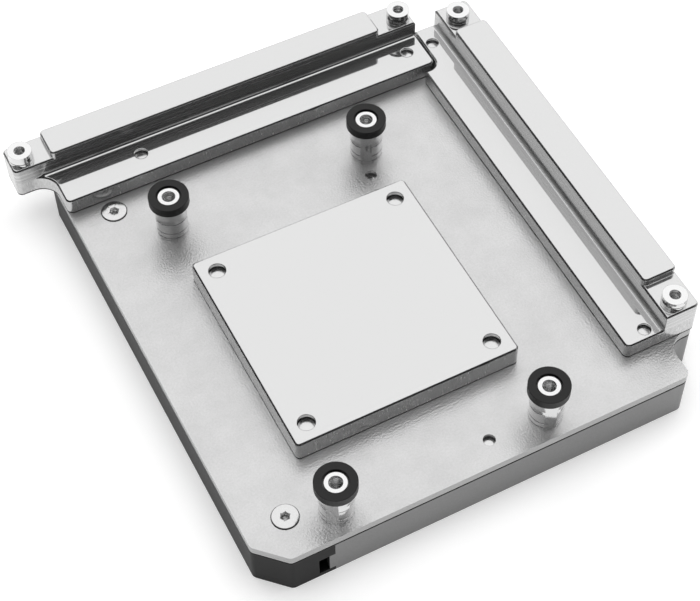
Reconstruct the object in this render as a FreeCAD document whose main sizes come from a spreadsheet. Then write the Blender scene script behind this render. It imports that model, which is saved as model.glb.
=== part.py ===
import FreeCAD, Part
import math
import os
import Sketcher
from types import SimpleNamespace

# Liquid cooling cold plate for a processor and the power stages beside it, contact side up.
# The origin is the middle of the processor socket's standoffs, on the face that the unit rests on.
# X runs along the short spacing of the standoffs, Y along the long one and Z up.

# Driving sizes in millimetres. A reach counts from the origin, a height from the face below it.
SIZES = {
    # Levels
    "seam_height": 11.5,
    "plate_thickness": 2.5,
    "board_height": 12.0,
    # Outline shared by the main plate, the flow body and the cover
    "left_reach": 48.2,
    "front_reach": 51.5,
    "right_reach": 71.2,
    "rear_reach": 80.4,
    "corner_cut": 6.8,
    "cut_radius": 1.8,
    "front_notch_width": 8.2,
    "front_notch_depth": 11.1,
    "front_notch_radius": 5.0,
    "rear_notch_width": 15.75,
    "rear_notch_depth": 7.7,
    "rear_notch_radius": 0.8,
    "outline_radius": 2.0,
    "seam_chamfer": 0.3,
    # Cover, and the strip of the flow body that it leaves bare
    "strip_width": 17.5,
    "cover_floor": 2.0,
    "cover_wall": 1.5,
    "cover_gap": 0.1,
    "tab_length": 1.5,
    "tab_bottom": 1.4,
    "tab_height": 5.8,
    "slot_length": 4.1,
    "slot_depth": 12.0,
    # Processor contact plate
    "contact_x": -0.2,
    "contact_y": -0.6,
    "contact_side": 58.0,
    "contact_thickness": 5.8,
    "contact_radius": 1.2,
    "contact_chamfer": 0.45,
    "foot_chamfer": 0.35,
    "contact_screw_reach": 24.15,
    # Microfins and jet plate
    "fin_count": 33,
    "fin_pitch": 1.0,
    "fin_thickness": 0.5,
    "fin_length": 33.0,
    "fin_height": 2.9,
    "window_side": 40.0,
    "jet_thickness": 0.8,
    "jet_width": 34.0,
    "jet_gap": 0.2,
    "jet_slot_length": 30.0,
    "jet_slot_width": 2.4,
    "plenum_length": 28.0,
    "plenum_width": 12.0,
    # Coolant passages
    "channel_floor": 5.2,
    "leg_width": 8.0,
    "riser_left": 30.0,
    "riser_width": 6.0,
    "front_leg_y": -26.0,
    "rear_leg_y": 46.0,
    "rear_leg_x": 34.0,
    "left_leg_x": -19.0,
    "transfer_width": 2.2,
    "tunnel_radius": 2.1,
    "tunnel_height": 7.3,
    "tunnel_overrun": 1.2,
    # Threaded ports
    "port_radius": 5.9,
    "port_depth": 9.5,
    "port_countersink": 0.6,
    "outlet_y": 34.0,
    # Gaskets and their grooves
    "groove_land": 0.8,
    "groove_width": 1.8,
    "groove_depth": 1.5,
    "gasket_clearance": 0.1,
    # Blocks over the power stages
    "low_bar_height": 4.5,
    "block_channel_width": 4.0,
    "block_channel_depth": 6.5,
    "block_channel_wall": 1.3,
    "block_radius": 1.3,
    "block_chamfer": 0.4,
    "edge_chamfer": 0.4,
    "foot_radius": 1.0,
    "low_bar_radius": 1.5,
    "block_gap": 0.35,
    # Rear block
    "rear_block_width": 19.9,
    "rear_bar_width": 8.7,
    "rear_lug_overhang": 8.95,
    "rear_left_lug_length": 10.05,
    "rear_right_lug_length": 10.55,
    "rear_bar_height": 10.8,
    "rear_lug_height": 8.9,
    "rear_lug_root_radius": 5.0,
    "rear_screw_left_inset": 22.55,
    "rear_screw_right_inset": 5.05,
    "rear_screw_inset": 6.4,
    # Right block
    "right_block_width": 19.6,
    "right_bar_width": 9.3,
    "right_step_gap": 2.0,
    "right_step_radius": 3.0,
    "right_lug_length": 10.3,
    "right_bar_height": 11.7,
    "right_lug_height": 9.6,
    "right_screw_inset": 6.5,
    "right_screw_rear_inset": 5.9,
    "right_screw_front_inset": 2.7,
    # Standoffs at the processor socket and their insulating washers
    "socket_spacing_x": 54.0,
    "socket_spacing_y": 90.0,
    "barrel_radius": 4.0,
    "barrel_flats": 7.5,
    "neck_radius": 2.65,
    "socket_bore_radius": 1.65,
    "socket_bore_depth": 8.0,
    "socket_stud_radius": 2.0,
    "socket_stud_length": 2.4,
    "washer_radius": 5.0,
    "washer_thickness": 2.3,
    "washer_rise": 0.45,
    "washer_clearance": 0.35,
    # Standoffs on the lugs of both blocks
    "rear_standoff_left_inset": 3.35,
    "rear_standoff_right_inset": 3.25,
    "rear_standoff_inset": 3.7,
    "right_standoff_rear_inset": 4.7,
    "right_standoff_front_inset": 3.7,
    "right_standoff_inset": 4.3,
    "short_radius": 3.0,
    "short_bore_radius": 1.4,
    "short_bore_depth": 2.2,
    "short_stud_radius": 1.25,
    "short_stud_length": 4.0,
    "thread_clearance": 0.05,
    "hole_end_room": 0.5,
    # Seats of the screws
    "contact_seat_radius": 2.15,
    "contact_seat_depth": 3.9,
    "block_seat_radius": 1.67,
    "block_seat_depth": 2.3,
    "plate_seat_radius": 3.3,
    "plate_seat_depth": 1.3,
    "plate_screw_inset": 10.2,
    "plate_screw_front_inset": 10.1,
    "plate_screw_rear_inset": 24.1,
    "small_seat_radius": 1.52,
    "small_seat_depth": 2.0,
    "small_screw_rear_x": 24.3,
    "small_screw_rear_y": 37.2,
    "small_screw_front_x": 12.1,
    "small_screw_front_inset": 6.5,
}

doc = FreeCAD.newDocument("ColdPlate")
sheet = doc.addObject("Spreadsheet::Sheet", "Sizes")
for row, (name, value) in enumerate(SIZES.items(), 1):
    sheet.set(f"A{row}", name)
    sheet.set(f"B{row}", str(value))
    sheet.setAlias(f"B{row}", name)
doc.recompute()


class Term:
    """A size that carries its number together with its expression on the sheet."""

    def __init__(self, number, text):
        self.number = number
        self.text = text

    def join(self, sign, other, number):
        return Term(number, f"({self.text} {sign} {other.text})")

    def __add__(self, other):
        other = term(other)
        return self.join("+", other, self.number + other.number)

    def __sub__(self, other):
        other = term(other)
        return self.join("-", other, self.number - other.number)

    def __mul__(self, other):
        other = term(other)
        return self.join("*", other, self.number * other.number)

    def __truediv__(self, other):
        other = term(other)
        return self.join("/", other, self.number / other.number)

    def __neg__(self):
        return Term(-self.number, f"(0 - {self.text})")


def term(value):
    if isinstance(value, Term):
        return value
    return Term(float(value), f"({value:.10f})")


size = SimpleNamespace(**{name: Term(float(value), f"Sizes.{name}") for name, value in SIZES.items()})
zero = term(0)

# Levels above the resting face
plateTop = size.seam_height + size.plate_thickness
washerTop = plateTop + size.board_height + size.washer_rise
lowBarTop = plateTop + size.low_bar_height
contactTop = plateTop + size.contact_thickness
finTips = plateTop - size.fin_height
jetSeat = finTips - size.jet_thickness

# Places shared by several pieces
left = -size.left_reach
front = -size.front_reach
right = size.right_reach
rear = size.rear_reach
coverLeft = left + size.strip_width
frontNotchX = right - size.front_notch_width
frontNotchY = front + size.front_notch_depth
rearNotchX = right - size.rear_notch_width
rearNotchY = rear - size.rear_notch_depth
rearBlockFront = rear - size.rear_block_width
rearBarFront = rear - size.rear_bar_width
rearLugLeft = left - size.rear_lug_overhang
rightBlockLeft = right - size.right_block_width
rightBarLeft = right - size.right_bar_width
portX = (left + coverLeft) / 2
socketPlaces = {
    "left_rear": (-size.socket_spacing_x / 2, size.socket_spacing_y / 2),
    "right_rear": (size.socket_spacing_x / 2, size.socket_spacing_y / 2),
    "right_front": (size.socket_spacing_x / 2, -size.socket_spacing_y / 2),
    "left_front": (-size.socket_spacing_x / 2, -size.socket_spacing_y / 2),
}
rearStandoffY = rearBarFront + size.rear_standoff_inset
rightStandoffX = rightBarLeft + size.right_standoff_inset
rearStandoffPlaces = [(rearLugLeft + size.rear_standoff_left_inset, rearStandoffY),
                      (rearNotchX - size.rear_standoff_right_inset, rearStandoffY)]
rightStandoffPlaces = [(rightStandoffX, rearNotchY - size.right_standoff_rear_inset),
                       (rightStandoffX, frontNotchY + size.right_standoff_front_inset)]
contactScrewPlaces = [(size.contact_x + size.contact_screw_reach * acrossX,
                       size.contact_y + size.contact_screw_reach * acrossY)
                      for acrossX, acrossY in ((-1, -1), (1, -1), (1, 1), (-1, 1))]
rearScrewY = rearBlockFront + size.rear_screw_inset
rearScrewPlaces = [(left + size.rear_screw_left_inset, rearScrewY),
                   (rearNotchX - size.rear_screw_right_inset, rearScrewY)]
rightScrewX = rightBlockLeft + size.right_screw_inset
rightScrewPlaces = [(rightScrewX, rearNotchY - size.right_screw_rear_inset),
                    (rightScrewX, frontNotchY + size.right_screw_front_inset)]
plateScrewX = left + size.plate_screw_inset
plateScrewPlaces = [(plateScrewX, rear - size.plate_screw_rear_inset),
                    (plateScrewX, front + size.plate_screw_front_inset)]
smallScrewPlaces = [(size.small_screw_rear_x, size.small_screw_rear_y),
                    (size.small_screw_front_x, front + size.small_screw_front_inset)]
# Turn of each socket standoff's wrench flats from the X axis in degrees, as it came to rest
flatTurns = {"left_rear": 162, "right_rear": 62, "right_front": 73, "left_front": 50}


# Sketches
def originFeature(body, role):
    return [item for item in body.Origin.OriginFeatures if item.Role == role][0]


def newSketch(body, name, level=zero, plane="XY_Plane"):
    sketch = body.newObject("Sketcher::SketchObject", name)
    sketch.AttachmentSupport = (originFeature(body, plane), [""])
    sketch.MapMode = "FlatFace"
    sketch.setExpression("AttachmentOffset.Base.z", level.text)
    return sketch


def bind(sketch, constraints):
    """Adds constraints given as (constraint, term) and ties each one to its term."""
    indices = sketch.addConstraint([constraint for constraint, value in constraints])
    for index, (constraint, value) in zip(indices, constraints):
        if value is not None:
            sketch.setExpression(f"Constraints[{index}]", value.text)


def pinned(geometry, position, x, y):
    """Fixes one point of a curve at x, y from the sketch's origin."""
    return [(Sketcher.Constraint("DistanceX", -1, 1, geometry, position, x.number), x),
            (Sketcher.Constraint("DistanceY", -1, 1, geometry, position, y.number), y)]


def vector(x, y):
    return FreeCAD.Vector(x.number, y.number, 0)


def roundedCorner(before, corner, after):
    """Works out where a corner's arc begins, ends and has its centre, from the corner's neighbours."""
    x, y, radius = corner
    toBefore = (vector(before[0], before[1]) - vector(x, y)).normalize()
    toAfter = (vector(after[0], after[1]) - vector(x, y)).normalize()
    half = toBefore.getAngle(toAfter) / 2
    inward = (toBefore + toAfter).normalize()
    reach = radius * (1 / math.tan(half))
    away = radius * (1 / math.sin(half))
    begin = (x + reach * toBefore.x, y + reach * toBefore.y)
    end = (x + reach * toAfter.x, y + reach * toAfter.y)
    centre = (x + away * inward.x, y + away * inward.y)
    turnsLeft = toBefore.cross(toAfter).z < 0
    return SimpleNamespace(begin=begin, end=end, centre=centre, turnsLeft=turnsLeft, radius=radius,
                           steep=abs(inward.y) > abs(inward.x))


def drawLoop(sketch, corners):
    """Draws a closed outline through corners of (x, y, radius); radius None leaves a corner sharp."""
    count = len(corners)
    rounds = []
    for index, corner in enumerate(corners):
        if corner[2] is None:
            rounds.append(SimpleNamespace(begin=corner[:2], end=corner[:2], radius=None))
        else:
            rounds.append(roundedCorner(corners[index - 1], corner, corners[(index + 1) % count]))
    constraints = []
    lines = []
    for index in range(count):
        start = rounds[index].end
        finish = rounds[(index + 1) % count].begin
        line = sketch.addGeometry(Part.LineSegment(vector(*start), vector(*finish)), False)
        lines.append(line)
        constraints += pinned(line, 1, *start)
        if rounds[(index + 1) % count].radius is not None:
            constraints += pinned(line, 2, *finish)
    for index, place in enumerate(rounds):
        lineBefore = lines[index - 1]
        lineAfter = lines[index]
        if place.radius is None:
            constraints.append((Sketcher.Constraint("Coincident", lineBefore, 2, lineAfter, 1), None))
            continue
        centre = vector(*place.centre)
        first = vector(*place.begin) - centre
        last = vector(*place.end) - centre
        angles = [math.atan2(spoke.y, spoke.x) for spoke in (first, last)]
        if not place.turnsLeft:
            angles.reverse()
        circle = Part.Circle(centre, FreeCAD.Vector(0, 0, 1), place.radius.number)
        arc = sketch.addGeometry(Part.ArcOfCircle(circle, angles[0], angles[1]), False)
        joins = ((lineBefore, 2, 2), (lineAfter, 1, 1))
        if place.turnsLeft:
            joins = ((lineBefore, 2, 1), (lineAfter, 1, 2))
        for line, lineEnd, arcEnd in joins:
            constraints.append((Sketcher.Constraint("Coincident", line, lineEnd, arc, arcEnd), None))
        across, alongY = place.centre
        if place.steep:
            constraints.append((Sketcher.Constraint("DistanceY", -1, 1, arc, 3, alongY.number), alongY))
        else:
            constraints.append((Sketcher.Constraint("DistanceX", -1, 1, arc, 3, across.number), across))
    bind(sketch, constraints)


def drawCircles(sketch, places, radius):
    for x, y in places:
        curve = Part.Circle(vector(x, y), FreeCAD.Vector(0, 0, 1), radius.number)
        circle = sketch.addGeometry(curve, False)
        roundness = (Sketcher.Constraint("Radius", circle, radius.number), radius)
        bind(sketch, pinned(circle, 3, x, y) + [roundness])


def rectangle(x0, y0, x1, y1, radius=None):
    return [(x0, y0, radius), (x1, y0, radius), (x1, y1, radius), (x0, y1, radius)]


def centredRectangle(x, y, lengthX, lengthY, radius=None):
    return rectangle(x - lengthX / 2, y - lengthY / 2, x + lengthX / 2, y + lengthY / 2, radius)


def turnedBy(corners, degrees):
    """Turns an outline round the origin."""
    across = math.cos(math.radians(degrees))
    along = math.sin(math.radians(degrees))
    return [(x * across - y * along, x * along + y * across, radius) for x, y, radius in corners]


def grown(corners, distance):
    """Moves each side of a square-cornered outline outward by one distance."""
    result = []
    for index, (x, y, ignored) in enumerate(corners):
        before = corners[index - 1]
        after = corners[(index + 1) % len(corners)]
        arriving = (vector(x, y) - vector(before[0], before[1])).normalize()
        leaving = (vector(after[0], after[1]) - vector(x, y)).normalize()
        shift = FreeCAD.Vector(arriving.y + leaving.y, -arriving.x - leaving.x, 0)
        result.append((x + distance * shift.x, y + distance * shift.y, None))
    return result


# Features of a body
def newBody(name):
    body = doc.addObject("PartDesign::Body", name)
    body.Label = name
    return body


def extrude(kind, body, name, sketch, length, upward):
    before = body.Shape.Volume if body.Tip else 0
    feature = body.newObject(f"PartDesign::{kind}", name)
    feature.Profile = sketch
    if length is None:
        feature.Type = "ThroughAll"
    else:
        feature.setExpression("Length", length.text)
    feature.Reversed = upward if kind == "Pocket" else not upward
    body.Tip = feature
    doc.recompute()
    if abs(body.Shape.Volume - before) < 1e-6:
        raise RuntimeError(f"{name} of {body.Label} changes nothing")
    return feature


def pad(body, name, sketch, length, upward=True):
    return extrude("Pad", body, name, sketch, length, upward)


def pocket(body, name, sketch, depth=None, upward=False):
    return extrude("Pocket", body, name, sketch, depth, upward)


def padLoop(body, name, corners, level, length, upward=True):
    sketch = newSketch(body, f"{name}Sketch", level)
    drawLoop(sketch, corners)
    return pad(body, name, sketch, length, upward)


def pocketLoops(body, name, loops, level, depth=None, upward=False):
    sketch = newSketch(body, f"{name}Sketch", level)
    for corners in loops:
        drawLoop(sketch, corners)
    return pocket(body, name, sketch, depth, upward)


def pocketCircles(body, name, places, radius, level, depth=None, upward=False):
    sketch = newSketch(body, f"{name}Sketch", level)
    drawCircles(sketch, places, radius)
    return pocket(body, name, sketch, depth, upward)


def dress(kind, body, name, base, wanted, amount):
    """Chamfers or fillets the edges of base for which wanted(edge) is true."""
    feature = body.newObject(f"PartDesign::{kind}", name)
    edges = [f"Edge{index}" for index, edge in enumerate(base.Shape.Edges, 1) if wanted(edge)]
    feature.Base = (base, edges)
    feature.setExpression("Size" if kind == "Chamfer" else "Radius", amount.text)
    body.Tip = feature
    doc.recompute()
    return feature


def liesAt(level):
    """True for an edge that lies flat at one level."""
    def test(edge):
        box = edge.BoundBox
        return abs(box.ZMin - level.number) < 1e-4 and abs(box.ZMax - level.number) < 1e-4
    return test


def circleAt(level, radius):
    """True for a round edge of one radius at one level."""
    flat = liesAt(level)

    def test(edge):
        return flat(edge) and hasattr(edge.Curve, "Radius") and abs(edge.Curve.Radius - radius.number) < 1e-4
    return test


def turned(name, profile, x=zero, y=zero, z=zero):
    """Revolves a half section of (radius, height) points and stands it at x, y, z."""
    body = newBody(name)
    sketch = newSketch(body, f"{name}Section", zero, "XZ_Plane")
    drawLoop(sketch, [(radius, height, None) for radius, height in profile])
    feature = body.newObject("PartDesign::Revolution", f"{name}Turning")
    feature.Profile = sketch
    feature.ReferenceAxis = (sketch, ["V_Axis"])
    feature.Angle = 360
    body.Tip = feature
    for axis, value in (("x", x), ("y", y), ("z", z)):
        body.setExpression(f"Placement.Base.{axis}", value.text)
    doc.recompute()
    return body


def gasketLoops(channel, clearance):
    """Inner and outer outline of the seal round a channel, with a clearance off its groove's walls."""
    inner = grown(channel, size.groove_land + clearance)
    outer = grown(channel, size.groove_land + size.groove_width - clearance)
    return [outer, inner]


def gasket(name, channel, level):
    body = newBody(name)
    sketch = newSketch(body, f"{name}Sketch", level)
    for corners in gasketLoops(channel, size.gasket_clearance):
        drawLoop(sketch, corners)
    pad(body, f"{name}Ring", sketch, size.groove_depth)
    return body


# Outlines of the coolant passages, square-cornered, anticlockwise
transferX = rightBarLeft + size.block_channel_wall
transferY = rearBarFront + size.block_channel_wall
legRight = transferX + size.transfer_width
legRear = transferY + size.transfer_width
windowHalf = size.window_side / 2
jetHalf = size.jet_width / 2 + size.jet_gap
windowLeft = size.contact_x - windowHalf
windowRight = size.contact_x + windowHalf
windowFront = size.contact_y - windowHalf
windowRear = size.contact_y + windowHalf
riserRight = size.riser_left + size.riser_width
frontLegTop = size.front_leg_y + size.leg_width
galleryLeft = size.contact_x - size.fin_length / 2

# Galleries at both ends of the fins, joined on the right and led to the right block
mainChannel = [
    (galleryLeft, windowFront, None),
    (size.riser_left, windowFront, None),
    (size.riser_left, size.front_leg_y, None),
    (legRight, size.front_leg_y, None),
    (legRight, frontLegTop, None),
    (riserRight, frontLegTop, None),
    (riserRight, windowRear, None),
    (galleryLeft, windowRear, None),
    (galleryLeft, size.contact_y + jetHalf, None),
    (size.riser_left, size.contact_y + jetHalf, None),
    (size.riser_left, size.contact_y - jetHalf, None),
    (galleryLeft, size.contact_y - jetHalf, None),
]

# What the main seal runs round: the window with the passage to the right block
mainSealed = [
    (windowLeft, windowFront, None),
    (size.riser_left, windowFront, None),
    (size.riser_left, size.front_leg_y, None),
    (legRight, size.front_leg_y, None),
    (legRight, frontLegTop, None),
    (riserRight, frontLegTop, None),
    (riserRight, windowRear, None),
    (windowLeft, windowRear, None),
]

# From the right block to the rear block
rearChannel = [
    (size.rear_leg_x, size.rear_leg_y, None),
    (legRight, size.rear_leg_y, None),
    (legRight, size.rear_leg_y + size.leg_width, None),
    (size.rear_leg_x + size.leg_width, size.rear_leg_y + size.leg_width, None),
    (size.rear_leg_x + size.leg_width, legRear, None),
    (size.rear_leg_x, legRear, None),
]

# From the rear block to the outlet port
outletFront = size.outlet_y - size.leg_width / 2
outletRear = size.outlet_y + size.leg_width / 2
outletChannel = [
    (portX - size.leg_width / 2, outletFront, None),
    (size.left_leg_x + size.leg_width, outletFront, None),
    (size.left_leg_x + size.leg_width, legRear, None),
    (size.left_leg_x, legRear, None),
    (size.left_leg_x, outletRear, None),
    (portX - size.leg_width / 2, outletRear, None),
]

# Coolant channels in the undersides of the two blocks
rearBlockChannel = rectangle(size.left_leg_x, transferY, size.rear_leg_x + size.leg_width,
                             transferY + size.block_channel_width)
rightBlockChannel = rectangle(transferX, size.front_leg_y, transferX + size.block_channel_width,
                              size.rear_leg_y + size.leg_width)
window = rectangle(windowLeft, windowFront, windowRight, windowRear)


def fullOutline():
    """The stepped outline of the unit seen from the contact side."""
    return [
        (left, front + size.corner_cut, size.cut_radius),
        (left + size.corner_cut, front, size.cut_radius),
        (frontNotchX, front, size.outline_radius),
        (frontNotchX, frontNotchY, size.front_notch_radius),
        (right, frontNotchY, size.outline_radius),
        (right, rearNotchY, size.outline_radius),
        (rearNotchX, rearNotchY, size.rear_notch_radius),
        (rearNotchX, rear, size.outline_radius),
        (left + size.corner_cut, rear, size.cut_radius),
        (left, rear - size.corner_cut, size.cut_radius),
    ]


def coverSide(inset, startX):
    """The outline's covered sides, moved inward by inset, from the front's left end to the rear's."""
    outerRadius = size.outline_radius
    if inset is not zero:
        outerRadius = size.outline_radius / 2
    return [
        (startX, front + inset, None),
        (frontNotchX - inset, front + inset, outerRadius),
        (frontNotchX - inset, frontNotchY + inset, size.front_notch_radius + inset),
        (right - inset, frontNotchY + inset, outerRadius),
        (right - inset, rearNotchY - inset, outerRadius),
        (rearNotchX - inset, rearNotchY - inset, size.rear_notch_radius + inset),
        (rearNotchX - inset, rear - inset, outerRadius),
        (startX, rear - inset, None),
    ]


def makeBasePlate():
    body = newBody("base_plate")
    slab = padLoop(body, "Slab", fullOutline(), size.seam_height, size.plate_thickness)
    dress("Chamfer", body, "SeamChamfer", slab, liesAt(size.seam_height), size.seam_chamfer)
    openings = [
        window,
        rectangle(size.left_leg_x, transferY, size.left_leg_x + size.leg_width, legRear),
        rectangle(size.rear_leg_x, transferY, size.rear_leg_x + size.leg_width, legRear),
        rectangle(transferX, size.front_leg_y, legRight, frontLegTop),
        rectangle(transferX, size.rear_leg_y, legRight, size.rear_leg_y + size.leg_width),
    ]
    pocketLoops(body, "Openings", openings, plateTop)
    pocketCircles(body, "StudHoles", list(socketPlaces.values()),
                  size.socket_stud_radius + size.thread_clearance, plateTop)
    pocketCircles(body, "PlateScrewSeats", plateScrewPlaces, size.plate_seat_radius, plateTop,
                  size.plate_seat_depth)
    pocketCircles(body, "SmallScrewSeats", smallScrewPlaces, size.small_seat_radius, plateTop,
                  size.small_seat_depth)
    return body


def makeContactPlate():
    body = newBody("cpu_contact_plate")
    side = size.contact_side
    outline = centredRectangle(size.contact_x, size.contact_y, side, side, size.contact_radius)
    slab = padLoop(body, "Slab", outline, plateTop, size.contact_thickness)
    edged = dress("Chamfer", body, "EdgeChamfer", slab, liesAt(contactTop), size.contact_chamfer)
    dress("Chamfer", body, "FootChamfer", edged, liesAt(plateTop), size.foot_chamfer)
    pocketCircles(body, "ScrewSeats", contactScrewPlaces, size.contact_seat_radius, contactTop,
                  size.contact_seat_depth)
    pocketLoops(body, "GasketGroove", gasketLoops(window, zero), plateTop, size.groove_depth, upward=True)
    fieldWidth = size.fin_pitch * (size.fin_count - 1)
    firstFin = centredRectangle(size.contact_x - fieldWidth / 2, size.contact_y,
                                size.fin_thickness, size.fin_length)
    fin = padLoop(body, "Fin", firstFin, plateTop, size.fin_height, upward=False)
    fins = body.newObject("PartDesign::LinearPattern", "Fins")
    fins.Originals = [fin]
    fins.Direction = (originFeature(body, "X_Axis"), [""])
    fins.setExpression("Length", fieldWidth.text)
    fins.setExpression("Occurrences", size.fin_count.text)
    body.Tip = fins
    doc.recompute()
    return body


def makeJetPlate():
    body = newBody("jet_plate")
    outline = centredRectangle(size.contact_x, size.contact_y, size.window_side - size.jet_gap * 2,
                               size.jet_width)
    slot = centredRectangle(size.contact_x, size.contact_y, size.jet_slot_length, size.jet_slot_width)
    sketch = newSketch(body, "SheetSketch", jetSeat)
    drawLoop(sketch, outline)
    drawLoop(sketch, slot)
    pad(body, "Sheet", sketch, size.jet_thickness)
    return body


def makeFlowBody():
    body = newBody("flow_body")
    inset = size.cover_wall + size.cover_gap
    strip = [
        (left, front + size.corner_cut, size.cut_radius),
        (left + size.corner_cut, front, size.cut_radius),
        (coverLeft, front, None),
        (coverLeft, rear, None),
        (left + size.corner_cut, rear, size.cut_radius),
        (left, rear - size.corner_cut, size.cut_radius),
    ]
    padLoop(body, "ExposedStrip", strip, zero, size.seam_height)
    padLoop(body, "CoveredPart", coverSide(inset, coverLeft), size.cover_floor,
            size.seam_height - size.cover_floor)
    pocketLoops(body, "JetSeat", [window], size.seam_height, size.seam_height - jetSeat)
    plenum = centredRectangle(size.contact_x, size.contact_y, size.plenum_length, size.plenum_width)
    channelDepth = size.seam_height - size.channel_floor
    pocketLoops(body, "Plenum", [plenum], size.seam_height, channelDepth)
    pocketLoops(body, "MainChannel", [mainChannel], size.seam_height, channelDepth)
    pocketLoops(body, "RearChannel", [rearChannel], size.seam_height, channelDepth)
    pocketLoops(body, "OutletChannel", [outletChannel], size.seam_height, channelDepth)
    for name, sealed in (("Main", mainSealed), ("Rear", rearChannel), ("Outlet", outletChannel)):
        pocketLoops(body, f"{name}GasketGroove", gasketLoops(sealed, zero), size.seam_height,
                    size.groove_depth)
    portPlaces = [(portX, size.contact_y), (portX, size.outlet_y)]
    ports = pocketCircles(body, "Ports", portPlaces, size.port_radius, zero, size.port_depth, upward=True)
    dress("Chamfer", body, "PortCountersinks", ports, circleAt(zero, size.port_radius), size.port_countersink)
    tunnel = newSketch(body, "InletTunnelSketch", portX, "YZ_Plane")
    drawCircles(tunnel, [(size.contact_y, size.tunnel_height)], size.tunnel_radius)
    tunnelLength = size.contact_x - portX - size.plenum_length / 2 + size.tunnel_overrun
    pocket(body, "InletTunnel", tunnel, tunnelLength, upward=True)
    slot = newSketch(body, "CableSlotSketch", size.front_reach, "XZ_Plane")
    drawLoop(slot, rectangle(coverLeft - size.slot_length, size.tab_bottom, coverLeft,
                             size.tab_bottom + size.tab_height))
    pocket(body, "CableSlot", slot, size.slot_depth)
    return body


def makeCover():
    body = newBody("cover")
    padLoop(body, "Block", coverSide(zero, coverLeft), zero, size.seam_height)
    inside = coverSide(size.cover_wall, coverLeft - size.cover_wall)
    pocketLoops(body, "Inside", [inside], size.seam_height, size.seam_height - size.cover_floor)
    tab = rectangle(coverLeft - size.tab_length, front, coverLeft, front + size.cover_wall)
    padLoop(body, "Tab", tab, size.tab_bottom, size.tab_height)
    return body


def makeBlock(name, lowOutline, strip, bar, lugHeight, barHeight, channel, screwPlaces, standoffPlaces,
              atFoot):
    """A block over a row of power stages: a low bar, a tall bar behind it and a lug at each end of it."""
    body = newBody(name)
    edge = size.edge_chamfer
    low = padLoop(body, "LowBar", lowOutline, plateTop, size.low_bar_height)
    footed = dress("Chamfer", body, "FootChamfer", low, liesAt(plateTop), size.foot_chamfer)
    dress("Chamfer", body, "LowBarChamfer", footed, liesAt(lowBarTop), edge)
    # The lugs and the tall bar begin below the chamfers, so that their shared walls run on
    lugs = padLoop(body, "Lugs", strip, lowBarTop - edge, lugHeight - size.low_bar_height + edge)
    dress("Chamfer", body, "LugChamfer", lugs, liesAt(plateTop + lugHeight), edge)
    tall = padLoop(body, "TallBar", bar, plateTop + lugHeight - edge, barHeight - lugHeight + edge)
    top = dress("Chamfer", body, "TopChamfer", tall, liesAt(plateTop + barHeight), size.block_chamfer)
    dress("Fillet", body, "FootFillet", top, atFoot, size.foot_radius)
    pocketLoops(body, "Channel", [channel], plateTop, size.block_channel_depth, upward=True)
    pocketLoops(body, "GasketGroove", gasketLoops(channel, zero), plateTop, size.groove_depth, upward=True)
    pocketCircles(body, "ScrewSeats", screwPlaces, size.block_seat_radius, lowBarTop, size.block_seat_depth)
    pocketCircles(body, "StandoffHoles", standoffPlaces, size.short_stud_radius + size.thread_clearance,
                  plateTop + lugHeight, size.short_stud_length + size.hole_end_room)
    return body


def makeRearBlock():
    lowOutline = [
        (rearLugLeft, rearBarFront, size.block_radius),
        (left, rearBarFront, size.rear_lug_root_radius),
        (left, rearBlockFront, size.low_bar_radius),
        (rearNotchX, rearBlockFront, size.low_bar_radius),
        (rearNotchX, rear, size.block_radius),
        (rearLugLeft, rear, size.block_radius),
    ]
    strip = [
        (rearLugLeft, rearBarFront, size.block_radius),
        (rearNotchX, rearBarFront, None),
        (rearNotchX, rear, size.block_radius),
        (rearLugLeft, rear, size.block_radius),
    ]
    bar = rectangle(rearLugLeft + size.rear_left_lug_length, rearBarFront,
                    rearNotchX - size.rear_right_lug_length, rear, size.block_radius)

    def atFoot(edge):
        box = edge.BoundBox
        return liesAt(lowBarTop)(edge) and box.YMax - box.YMin < 1e-4 and (
            abs(box.YMin - rearBarFront.number) < 1e-4)
    return makeBlock("rear_vrm_block", lowOutline, strip, bar, size.rear_lug_height, size.rear_bar_height,
                     rearBlockChannel, rearScrewPlaces, rearStandoffPlaces, atFoot)


def makeRightBlock():
    stepX = rearNotchX + size.block_gap
    stepY = rearBlockFront - size.right_step_gap
    lowOutline = [
        (rightBlockLeft, frontNotchY, size.low_bar_radius),
        (right, frontNotchY, size.block_radius),
        (right, rearNotchY, size.block_radius),
        (stepX, rearNotchY, None),
        (stepX, stepY, size.right_step_radius),
        (rightBlockLeft, stepY, None),
    ]
    strip = [
        (rightBarLeft, frontNotchY, None),
        (right, frontNotchY, size.block_radius),
        (right, rearNotchY, size.block_radius),
        (rightBarLeft, rearNotchY, None),
    ]
    bar = rectangle(rightBarLeft, frontNotchY + size.right_lug_length, right,
                    rearNotchY - size.right_lug_length, size.block_radius)

    def atFoot(edge):
        box = edge.BoundBox
        return liesAt(lowBarTop)(edge) and box.XMax - box.XMin < 1e-4 and (
            abs(box.XMin - rightBarLeft.number) < 1e-4)
    return makeBlock("right_vrm_block", lowOutline, strip, bar, size.right_lug_height, size.right_bar_height,
                     rightBlockChannel, rightScrewPlaces, rightStandoffPlaces, atFoot)


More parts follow.
